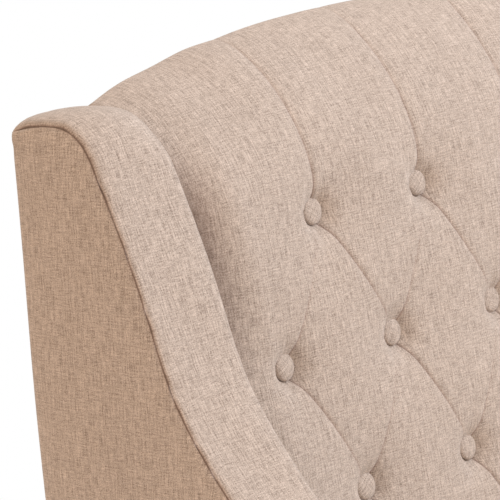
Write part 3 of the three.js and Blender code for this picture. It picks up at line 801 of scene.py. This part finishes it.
def wing_path():
    """The wing's side outline as (depth, height), from the bottom up the front and back over the top."""
    at = lambda d, h: np.array((d, TOP_ROW + h))

    def curve(p0, p1, p2, p3, count):
        return bezier(p0, p1, p2, p3, np.linspace(0, 1, count + 1)[1:, None])

    front, crest, corner = 0.297, 0.048, 0.010
    top, back_top = TOP_ROW + 0.118, TOP_ROW + 0.1137
    waist, shoulder = at(0.2414, -0.210), at(0.103, 0.072)
    over = np.linspace(crest, corner, 11)[1:]
    turns = np.linspace(0, 0.94 * math.pi / 2, 9)[1:]
    return np.concatenate([
        [(front, z) for z in np.linspace(0.038, TOP_ROW - 0.370, 46)],
        curve(at(front, -0.370), at(front, -0.300), at(0.277, -0.252), waist, 24),
        curve(waist, at(0.1345, -0.085), at(0.1806, -0.0954), shoulder, 34),
        curve(shoulder, at(0.0925, 0.097), at(0.084, 0.118), at(crest, 0.118), 22),
        [(d, mix(top, back_top, ((crest - d) / (crest - corner)) ** 2)) for d in over],
        [(corner * (1 - math.sin(a)), back_top - corner * (1 - math.cos(a))) for a in turns],
    ])


def wing_line():
    """What the padding needs to know at each point of the wing's outline."""
    path = wing_path()
    tangent = np.gradient(path, axis=0)
    tangent /= np.linalg.norm(tangent, axis=1)[:, None]
    steps = np.linalg.norm(np.diff(path, axis=0), axis=1)
    line = SimpleNamespace(d=path[:, 0], z=path[:, 1], out_d=tangent[:, 1], out_z=-tangent[:, 0])
    line.way = np.concatenate([[0], np.cumsum(steps)])
    # The band is fuller between the rails and the top.
    line.full = smooth(line.z, 0.40, 0.60) * (1 - smooth(line.z, TOP_ROW + 0.070, TOP_ROW + 0.112))
    # Heights on the back edge that face each point of the outline.
    line.back_z = line.z - 0.55 * line.d * smooth(line.z, 0.95, 1.316)
    line.back_z[-1] = line.z[-1]
    return line


# Each column of a wing's skin is x from the middle, depth, height, u, v, painted shade and face number.
def wing_band(line):
    """The padded band over the front and top, from the outer seam to the inner face."""
    columns = []
    for offset in BAND_STEPS:
        from_inner = WING - offset
        crowned = 0.0030 + 0.0058 * smooth(line.z, TOP_ROW + 0.03, TOP_ROW + 0.110)
        rise = crowned * math.sin(math.pi * min(1, offset / 0.084)) ** 0.55
        rolling = 0.0006 * np.sin(line.way * 46 + offset * 60)
        rise += rolling * smooth(offset, 0.0, 0.02) * smooth(from_inner, 0.0, 0.02)
        rise += FULLER_OUT * line.full * smooth(offset, 0.03, 0.084)
        seam = 0.0030 * fall(offset, 0.0011)
        pucker = 0.0005 * (np.sin(line.way * 160 + 0.3) + 0.7 * np.sin(line.way * 263 + 1.1))
        pucker *= fall(offset, 0.012, 2)
        to_edge = max(0, BAND_RADIUS - from_inner)
        around = BAND_RADIUS - math.sqrt(max(0, BAND_RADIUS ** 2 - to_edge ** 2))
        lift = rise - seam + pucker - around
        x = OUTER - 0.0024 - offset * (WING - 0.0024) / WING
        x -= FULLER_IN * line.full * smooth(offset, 0.040, WING)
        d, z = line.d + line.out_d * lift, line.z + line.out_z * lift
        # Painted shade along the outer seam, partly the seam's own dark line.
        shade = 0.9 * fall(max(0, offset - BAND_STEPS[0]), 0.0003)
        columns.append((x, d, z, 0.3 + offset, line.way, shade, 0))
    return columns


def wing_inside(line):
    """The inner face, mostly hidden by the headboard, and the back."""
    columns = []
    edge_d, edge_z = line.d - 0.011 * line.out_d, line.z - 0.011 * line.out_z
    for share in INNER_STEPS:
        d, z = mix(edge_d, 0, share), mix(edge_z, line.back_z, share)
        swell = FULLER_IN * line.full * fall(share * line.d, 0.014)
        columns.append((HALF - swell, np.maximum(d, 0.003), z, 5 + d, z, 0, 1))
    # The back's inner corner, darkened along it by painted shade.
    columns.append((HALF + 0.0015, 0.0010, line.back_z, 5, line.back_z, 0.4, 1))
    for share in BACK_STEPS:
        x, d = mix(HALF, OUTER - 0.002, share), 0.0002 + 0.001 * abs(2 * share - 1) ** 3
        columns.append((x, d, line.back_z, 7 + share * WING, line.back_z, 0, 2))
    # The back's outer corner, with a faint line of painted shade.
    columns.append((OUTER - 0.0032, 0.0006, line.back_z, 9, line.back_z, 0.2, 3))
    return columns


def wing_panel(line):
    """The outer side panel, from the back edge to the seam, full in the middle and drawn in at the seams."""
    columns = []
    seam_d, seam_z = line.d - 0.0022 * line.out_d, line.z - 0.0022 * line.out_z
    for share in PANEL_STEPS:
        d, z = mix(seam_d, 0.0, share), mix(seam_z, line.back_z, share)
        to_seam = np.hypot(d - seam_d, z - seam_z) * (0.55 + 0.45 * np.clip(line.d / 0.15, 0, 1))
        pinch = 0.0016 * fall(to_seam, 0.0150) + 0.0012 * fall(to_seam, 0.0018) + 0.0018 * fall(d, 0.006)
        pucker = 0.0007 * (np.sin(line.way * 118 + 0.9) + 0.8 * np.sin(line.way * 191 + 2.0))
        pucker *= fall(to_seam, 0.030, 2) * smooth(to_seam, 0, 0.006)
        waves = 0.0009 * np.sin(z * 19 + d * 23) * smooth(to_seam, 0.0, 0.05)
        bulge = 0.0052 * (1 - fall(to_seam, 0.024)) * (1 - fall(d, 0.020))
        x = OUTER - pinch + bulge + pucker + waves
        # Painted shade along the seam, partly the seam's own dark line.
        columns.append((x, np.maximum(d, 0.0015), z, 11 + d, z, 0.9 * fall(to_seam, 0.0004), 3))
    return columns


def wing(word, side):
    line = wing_line()
    columns = wing_band(line) + wing_inside(line) + wing_panel(line)
    columns = [np.broadcast_arrays(*column, line.d)[:-1] for column in columns]
    x, d, z, u, v, crease, face = (np.stack(values, axis=1) for values in zip(*columns))
    rings = np.stack([side * x, BACK - d, z], axis=-1)
    left = np.stack([u, v], axis=-1)
    right = np.roll(left, -1, axis=1)
    last = face[0] != np.roll(face[0], -1)
    right[:, last] = left[:, last] + np.array([0.002, 0])
    if side > 0:
        rings, crease = rings[:, ::-1], crease[:, ::-1]
        left, right = np.roll(right[:, ::-1], -1, axis=1), np.roll(left[:, ::-1], -1, axis=1)
    made = loft(
        f"wing_upholstery_{word}", rings, left, right, crease=crease.ravel(), replaces=[f"wing_pad_{word}"],
    )
    # The inner padding leaves room for the rail's steel plate and the slats' ledger.
    plate_low, plate_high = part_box(f"rail_plate_head_{word}")
    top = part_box(f"slat_ledger_{word}")[1][2] + 0.0006
    deep = from_middle(*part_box(f"wing_core_{word}"))[0] + 0.0003
    wide = sorted((side * (HALF - 0.020), side * deep))
    carve(made, ((wide[0], plate_low[1], plate_low[2] - 0.003), (wide[1], plate_high[1] + 0.006, top)))


for word, side in SIDES:
    wing(word, side)

# ---- side rails
GAP = 0.0003  # between a cover's stuffing and the board inside it


def side_rail_cover(word, side):
    low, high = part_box(f"side_rail_cover_{word}")
    board_low, board_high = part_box(f"side_rail_board_{word}")
    inner, outer = from_middle(low, high)
    board = from_middle(board_low, board_high)
    radii = (0.004, 0.011, 0.014, 0.006)
    outline = rounded_outline((inner, low[2]), (outer - 0.003, high[2] - 0.001), radii, 0.014)

    def place(along, a, b):
        waves = 0.0007 * math.sin(along * 17 + b * 9) + 0.0005 * math.sin(along * 41 - b * 23)
        return (side * (a + waves * (a > inner + 0.004)), along, b)

    stations = stations_along(low[1], high[1], 0.004, 0.016)
    made = bar_mesh(
        f"side_rail_upholstery_{word}", outline, stations, place, 0.003, replaces=[f"side_rail_cover_{word}"],
    )
    places = places_of(made.data)
    held = np.abs(places[:, 0]) < board[0]
    held |= (places[:, 1] < low[1] + 0.004) | (places[:, 1] > high[1] - 0.004)
    settle(made, held, cap=0.006)
    subdivide(made)
    start, end = low[1] - 0.01, high[1] + 0.01
    bottom = board_low[2] - GAP
    rooms = [
        ((board[0] - GAP, start, bottom), (board[1] + GAP, end, board_high[2] + GAP)),
        ((inner - 0.02, start, bottom), (board[0], end, high[2] - 0.034)),
    ]
    if side < 0:
        rooms = [((-b[0], a[1], a[2]), (-a[0], b[1], b[2])) for a, b in rooms]
    carve(made, *rooms)


for word, side in SIDES:
    side_rail_cover(word, side)

# ---- footboard
def footboard_cover():
    low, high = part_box("footboard_pad")
    board_low, board_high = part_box("footboard_board")
    radii = (0.007, 0.006, 0.010, 0.020)
    outline = rounded_outline((low[1] + 0.002, low[2]), (high[1], high[2] - 0.002), radii, 0.015)

    def place(along, a, b):
        waves = 0.0008 * math.sin(along * 15 + b * 11) + 0.0005 * math.sin(along * 37 - b * 19)
        return (along, a + waves * (a < low[1] + 0.02), b)

    stations = stations_along(low[0] + 0.002, high[0] - 0.002, 0.004, 0.016)
    made = bar_mesh("footboard_upholstery", outline, stations, place, 0.012, replaces=["footboard_pad"])
    held = places_of(made.data)[:, 1] > board_high[1] - 0.001
    settle(made, held, cap=0.007)
    subdivide(made)
    # Behind the board there is stuffing only above the rails.
    rails_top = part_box("side_rail_cover_left")[1][2] + 0.0006
    carve(
        made,
        (tuple(c - GAP for c in board_low), tuple(c + GAP for c in board_high)),
        ((low[0] - 0.02, board_high[1] - GAP, low[2] - 0.02), (high[0] + 0.02, high[1] + 0.02, rails_top)),
    )


footboard_cover()

# ---- headboard back
def back_cover():
    """The cloth stretched over the open back, tacked at its edges and sunk a little between the uprights."""
    low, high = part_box("headboard_back_cover")
    half = high[0] - 0.0006
    cloth, hem, below = 0.0007, 0.022, 0.012
    across = np.linspace(-half, half, 105)
    share = np.concatenate([[0, 0.006], np.linspace(0.018, 0.982, 82), [0.994, 1]])
    X, S = np.meshgrid(across, share)
    top = top_height(X) - below
    Z = mix(np.full_like(X, low[2]), top, S)
    to_side = half - np.abs(X)
    to_end = np.minimum(top - Z, Z - low[2])
    to_edge = np.minimum(to_side, to_end)
    # The cloth sags between the stiles and the centre rib, and between the bottom and the top rail.
    span = np.sin(math.pi * np.clip(np.abs(X) / 0.736, 0, 1)) ** 2
    upright = np.sin(math.pi * np.clip((Z - 0.28) / 0.93, 0, 1)) * (Z > 0.28) * (Z < 1.21)
    tacks = 2 * math.pi / 0.045
    pulls = np.sin(X * tacks) * fall(to_end, 0.03) + np.sin(Z * tacks) * fall(to_side, 0.03)
    ripple = 0.0005 * np.sin(X * 13 + Z * 5) * np.sin(Z * 11 - X * 3)
    folded = 0.0009 * (1 - smooth(to_edge, hem - 0.001, hem + 0.001))
    depth = 0.0016 + 0.0040 * span * upright + 0.0004 * pulls + ripple * smooth(to_edge, 0, 0.05) - folded
    depth = np.clip(depth, 0.0003, 0.0075)
    skin = np.stack([X, BACK - depth, Z], axis=-1).reshape(-1, 3)
    points = np.concatenate([skin, skin - np.array([0, cloth, 0])])
    faces, count = grid_faces(*X.shape), X.size
    index = np.arange(count).reshape(X.shape)
    rim = np.concatenate([index[0], index[1:, -1], index[-1, -2::-1], index[-2:0:-1, 0]])
    ahead = np.roll(rim, -1)
    hem_faces = np.stack([rim, ahead, ahead + count, rim + count], axis=-1)
    every = np.concatenate([faces, faces[:, ::-1] + count, hem_faces])
    # A darker line of painted shade along the hem's edge.
    line = fall(np.abs(to_edge - hem), 0.0012)
    made = make(
        "headboard_back_cloth", points, every, LINEN, "linen", uv=points[every.ravel()][:, [0, 2]],
        crease=np.concatenate([line.ravel(), np.zeros(count)]), replaces=["headboard_back_cover"],
    )
    area = 2 * half * float((top_height(across) - below - low[2]).mean())


back_cover()

# ---- hardware
def turned(profile, sides, place, radius_at=None):
    """Points and faces of a lathe form about its own Z; place maps a local point to the bed's frame."""
    points = []
    for n, (r, h) in enumerate(profile):
        for k in range(sides):
            angle = 2 * math.pi * k / sides
            reach = radius_at(n, angle) if radius_at else r
            points.append(place(Vector((reach * math.cos(angle), reach * math.sin(angle), h))))
    return points, tube_faces(len(profile), sides)


def joined(parts):
    """Several point and face lists as one."""
    points, faces = [], []
    for more_points, more_faces in parts:
        faces += [tuple(v + len(points) for v in face) for face in more_faces]
        points += more_points
    return points, faces


def crisp(piece, degrees=35):
    """Smooth shading that stops at the sharp edges."""
    piece.data.set_sharp_from_angle(angle=math.radians(degrees))
    return piece


def rail_bolts():
    """Button-head bolts with a hexagon socket and a washer, in place of the plain ones."""
    across_flats = 0.005
    profile = [
        (0.0037, -0.0280), (0.0039, -0.0270), (0.0039, -0.0004), (0.0088, -0.0004), (0.0090, 0.0),
        (0.0090, 0.0008), (0.0087, 0.0010), (0.0070, 0.0010), (0.0071, 0.0016), (0.0066, 0.0030),
        (0.0055, 0.0040), (0.0040, 0.0045), (0.0031, 0.0045), (0.0030, 0.0018),
    ]

    def socket(n, angle):
        if n < len(profile) - 2:
            return profile[n][0]
        return across_flats / 2 / math.cos((angle + math.pi / 6) % (math.pi / 3) - math.pi / 6)

    for end in ("head", "foot"):
        for word, side in SIDES:
            for n in (1, 2):
                node = f"rail_bolt_{end}_{word}_{n}"
                low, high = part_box(node)
                middle = (Vector(low) + Vector(high)) / 2
                axis = Vector((-side, 0, 0)) if end == "head" else Vector((0, 1, 0))
                face = max(Vector(low).dot(axis), Vector(high).dot(axis)) - 0.0045
                seat = middle - axis * middle.dot(axis) + axis * face
                turn = axis.to_track_quat("Z", "X").to_matrix()
                points, faces = turned(profile, 36, lambda p: seat + turn @ p, socket)
                crisp(make(f"socket_bolt_{end}_{word}_{n}", points, faces, ZINC, "zinc", replaces=[node]))


def slat_screws():
    """Two countersunk screw heads at each end of every slat, driven into the ledger."""
    profile = [
        (0.0022, -0.0012), (0.0040, -0.0004), (0.0042, 0.0002), (0.0036, 0.0010), (0.0016, 0.0013),
        (0.0012, -0.0002),
    ]
    names = sorted(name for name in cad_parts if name.startswith("slat_") and "ledger" not in name)
    for word in ("left", "right"):
        ledger_low, ledger_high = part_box(f"slat_ledger_{word}")
        middle = (ledger_low[0] + ledger_high[0]) / 2
        parts = []
        for name in names:
            low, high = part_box(name)
            for share in (0.24, 0.76):
                at = Vector((middle, mix(low[1], high[1], share), high[2]))
                parts.append(turned(profile, 16, lambda p, at=at: at + p))
        crisp(make(f"slat_screws_{word}", *joined(parts), ZINC, "zinc"))


def levellers():
    """Moulded screw feet with a ribbed grip."""
    for name in ("foot", "head"):
        low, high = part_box(f"centre_leveller_{name}")
        middle = Vector(((low[0] + high[0]) / 2, (low[1] + high[1]) / 2, 0))
        stem, pitch, collar, end = 0.0048, 0.00075, 0.0220, high[2]
        profile = [
            (0.0165, 0.0), (0.0190, 0.0006), (0.0207, 0.0030), (0.0209, 0.0060), (0.0205, 0.0092),
            (0.0180, 0.0112), (0.0160, 0.0128), (0.0128, 0.0136), (0.0119, 0.0145), (0.0119, 0.0212),
            (0.0112, 0.0219),
        ]
        grip = range(2, 5)
        for n in range(int((end - collar - 0.0020) / pitch)):
            profile.append((stem - (0.0004 if n % 2 else 0), collar + n * pitch))
        profile.append((stem - 0.0014, end))

        def ribs(n, angle, profile=profile):
            return profile[n][0] - (0.0007 * (0.5 - 0.5 * math.cos(24 * angle)) if n in grip else 0)

        points, faces = turned(profile, 96, lambda p: middle + p, ribs)
        made = make(
            f"leveller_glide_{name}", points, faces, PLASTIC, "black_plastic", body=f"leveller_{name}",
            replaces=[f"centre_leveller_{name}"],
        )
        crisp(made, 50)


rail_bolts()
slat_screws()
levellers()

# ---- studio
scene.view_settings.view_transform = "Standard"

camera_data = bpy.data.cameras.new("camera")
camera_data.sensor_width = 36
camera_data.lens = 210.7
camera_data.clip_end = 200
camera = linked("camera", camera_data)
forward = Vector((0.7227, 0.6656, -0.1863)).normalized()
level_right = forward.cross(Vector((0, 0, 1))).normalized()
level_up = level_right.cross(forward)
tilt = math.radians(-4.39)
image_right = level_right * math.cos(tilt) + level_up * math.sin(tilt)
image_up = image_right.cross(forward)
turn = Matrix((image_right, image_up, -forward)).transposed().to_4x4()
camera.matrix_world = Matrix.Translation((-2.576, -0.6995, 1.664)) @ turn
scene.camera = camera

key_data = bpy.data.lights.new("key", "AREA")
key_data.shape = "DISK"
key_data.size = 1.8
key_data.energy = 200
key_data.color = (1.0, 0.985, 0.97)
key = linked("key", key_data)
key.location = (2.2, -2.6, 3.9)
key.rotation_euler = (Vector((-0.2, 1.0, 1.0)) - key.location).to_track_quat("-Z", "Y").to_euler()
key.visible_camera = False


def surroundings():
    """White to the camera. To the bed: warm from the left, cooler from the right and brighter overhead."""
    world = bpy.data.worlds.new("studio")
    world.use_nodes = True
    scene.world = world
    sky = Nodes(world.node_tree)
    sky.tree.nodes.clear()
    direction = sky.node("TexCoord").outputs["Generated"]
    x, _, z = sky.node("SeparateXYZ", {0: direction}).outputs
    tint = sky.blend(sky.range(x, -0.9, 0.5), (1.20, 0.84, 0.56, 1), (0.69, 0.67, 0.68, 1))
    light = sky.blend(sky.range(z, 0.2, 1.0), tint, (0.44, 0.40, 0.34, 1), "ADD")
    glow = sky.node("Background", {0: light, 1: 0.85}).outputs[0]
    white = sky.node("Background", {0: (1, 1, 1, 1)}).outputs[0]
    seen = sky.node("LightPath").outputs["Is Camera Ray"]
    pick = sky.node("MixShader", {0: seen, 1: glow, 2: white}).outputs[0]
    sky.node("OutputWorld", {0: pick})


def pale_floor():
    """A disk that fades into the white round it."""
    look = Graph("floor", Roughness=0.9, Base_Color=(0.80, 0.84, 0.89, 1))
    place = look.node("TexCoord").outputs["Object"]
    far = look.node("VectorMath", {0: place}, operation="LENGTH").outputs["Value"]
    clear = look.node("BsdfTransparent").outputs[0]
    merge = look.node("MixShader", {0: look.range(far, 1.9, 3.5), 1: look.shader.outputs[0], 2: clear})
    look.plug(merge.outputs[0], look.tree.nodes["Material Output"].inputs[0])
    radius, sides = 3.6, 96
    angles = np.linspace(0, 2 * math.pi, sides, endpoint=False)
    mesh = bpy.data.meshes.new("floor")
    rim = [(radius * math.cos(a), radius * math.sin(a), 0.0) for a in angles]
    mesh.from_pydata(rim, [], [tuple(range(sides))])
    mesh.materials.append(look.material)
    floor = linked("floor", mesh)


surroundings()
pale_floor()

# ---- CAD nodes that stay
# The start of each node's name, with its look and, for bare wood and feet, the width of its eased edges.
LOOKS = [
    ("slat_ledger", PINE_Y), ("slat_", PINE_X), ("side_rail_board", PINE_Y), ("centre_rail", PINE_Y),
    ("footboard_board", PINE_X), ("headboard_top_rail", PINE_X), ("headboard_bottom_rail", PINE_X),
    ("headboard_stile", PINE_Z), ("headboard_centre_rib", PLYWOOD), ("headboard_front_board", PLYWOOD),
    ("wing_core", PLYWOOD), ("wing_foot", PLASTIC), ("footboard_foot", DARK_WOOD), ("centre_leg", DARK_WOOD),
    ("centre_stirrup", STEEL), ("rail_plate", STEEL), ("rail_angle", STEEL),
]
EASED = [
    ("slat_", 0.0022), ("side_rail_board", 0.002), ("centre_rail", 0.003), ("footboard_board", 0.002),
    ("footboard_foot", 0.0025), ("centre_leg", 0.002), ("wing_foot", 0.002), ("headboard_bottom_rail", 0.002),
]


def first_match(name, pairs):
    return next((value for start, value in pairs if name.startswith(start)), None)


for name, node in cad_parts.items():
    look = first_match(name, LOOKS)
    if look is None:
        continue
    for slot in node.material_slots:
        slot.material = look
    width = first_match(name, EASED)
    if width is not None and not node.hide_render:
        edge = node.modifiers.new("eased_edges", "BEVEL")
        edge.width = width
        edge.segments = 2
        edge.angle_limit = math.radians(50)
